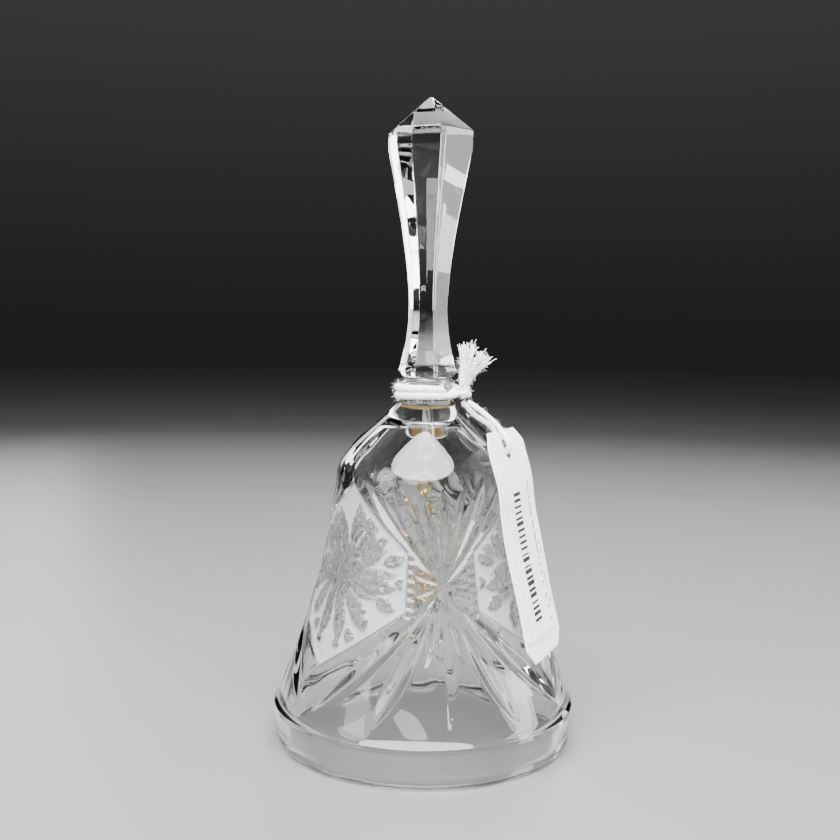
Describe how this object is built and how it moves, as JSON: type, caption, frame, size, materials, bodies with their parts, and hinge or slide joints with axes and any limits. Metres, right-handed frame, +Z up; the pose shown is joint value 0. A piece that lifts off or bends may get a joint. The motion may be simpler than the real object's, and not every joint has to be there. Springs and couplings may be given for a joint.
{
  "type": "glass hand bell",
  "caption": "Cut-crystal hand bell with a faceted handle, a glass-bead clapper on a fine chain, and a paper tag tied round its neck.",
  "frame": {"origin": "centre of the rim's underside, on the surface that the bell stands on", "axes": "+Z up along the bell's axis to the tip of the handle; -Y towards the cut star nearest the viewer; +X to the viewer's right, the side the tag hangs on"},
  "size_m": [0.084, 0.084, 0.177],
  "materials": {
    "crystal": "polished lead crystal with matt etched panels",
    "bead_crystal": "polished, faceted",
    "bond": "clear set adhesive",
    "plug": "cast clear cement, slightly cloudy",
    "brass": "bright gilt wire",
    "gold_foil": "embossed foil",
    "cotton": "twisted white cotton",
    "tag_card": "white card",
    "tag_label": "white label with plain printed bars"
  },
  "bodies": {
    "bell": {"bell_bowl": "crystal", "handle": "crystal", "handle_bond": "bond", "hanger_plug": "plug", "hanger_eye": "brass", "gold_sticker": "gold_foil", "neck_string": "cotton", "string_knot": "cotton", "string_tail_1": "cotton", "string_tail_2": "cotton", "string_tail_3": "cotton", "string_tail_4": "cotton"},
    "link_1": {"chain_link_1": "brass"},
    "link_2": {"chain_link_2": "brass"},
    "link_3": {"chain_link_3": "brass"},
    "link_4": {"chain_link_4": "brass"},
    "link_5": {"chain_link_5": "brass"},
    "link_6": {"chain_link_6": "brass"},
    "link_7": {"chain_link_7": "brass"},
    "link_8": {"chain_link_8": "brass"},
    "clapper": {"clapper_pin": "brass", "clapper_upper_cap": "brass", "clapper_bead": "bead_crystal", "clapper_lower_cap": "brass"},
    "tag": {"tag_cord": "cotton", "tag_card": "tag_card", "tag_label": "tag_label"}
  },
  "joints": [
    {"name": "link_1_swing", "type": "hinge", "parent": "bell", "child": "link_1", "pos_m": [0, 0, 0.0782], "axis": [1, 0, 0], "range_deg": [-12, 12]},
    {"name": "link_2_swing", "type": "hinge", "parent": "link_1", "child": "link_2", "pos_m": [0, 0, 0.0737], "axis": [0, 1, 0], "range_deg": [-12, 12]},
    {"name": "link_3_swing", "type": "hinge", "parent": "link_2", "child": "link_3", "pos_m": [0, 0, 0.0692], "axis": [1, 0, 0], "range_deg": [-4, 4]},
    {"name": "link_4_swing", "type": "hinge", "parent": "link_3", "child": "link_4", "pos_m": [0, 0, 0.0647], "axis": [0, 1, 0], "range_deg": [-4, 4]},
    {"name": "link_5_swing", "type": "hinge", "parent": "link_4", "child": "link_5", "pos_m": [0, 0, 0.0602], "axis": [1, 0, 0], "range_deg": [-4, 4]},
    {"name": "link_6_swing", "type": "hinge", "parent": "link_5", "child": "link_6", "pos_m": [0, 0, 0.0557], "axis": [0, 1, 0], "range_deg": [-4, 4]},
    {"name": "link_7_swing", "type": "hinge", "parent": "link_6", "child": "link_7", "pos_m": [0, 0, 0.0512], "axis": [1, 0, 0], "range_deg": [-4, 4]},
    {"name": "link_8_swing", "type": "hinge", "parent": "link_7", "child": "link_8", "pos_m": [0, 0, 0.0467], "axis": [0, 1, 0], "range_deg": [-4, 4]},
    {"name": "clapper_swing", "type": "hinge", "parent": "link_8", "child": "clapper", "pos_m": [0, 0, 0.0422], "axis": [1, 0, 0], "range_deg": [-4, 4]},
    {"name": "tag_swing", "type": "hinge", "parent": "bell", "child": "tag", "pos_m": [0.01031, -0.00438, 0.09735], "axis": [-0.3907, -0.9205, 0], "range_deg": [0, 60]}
  ]
}
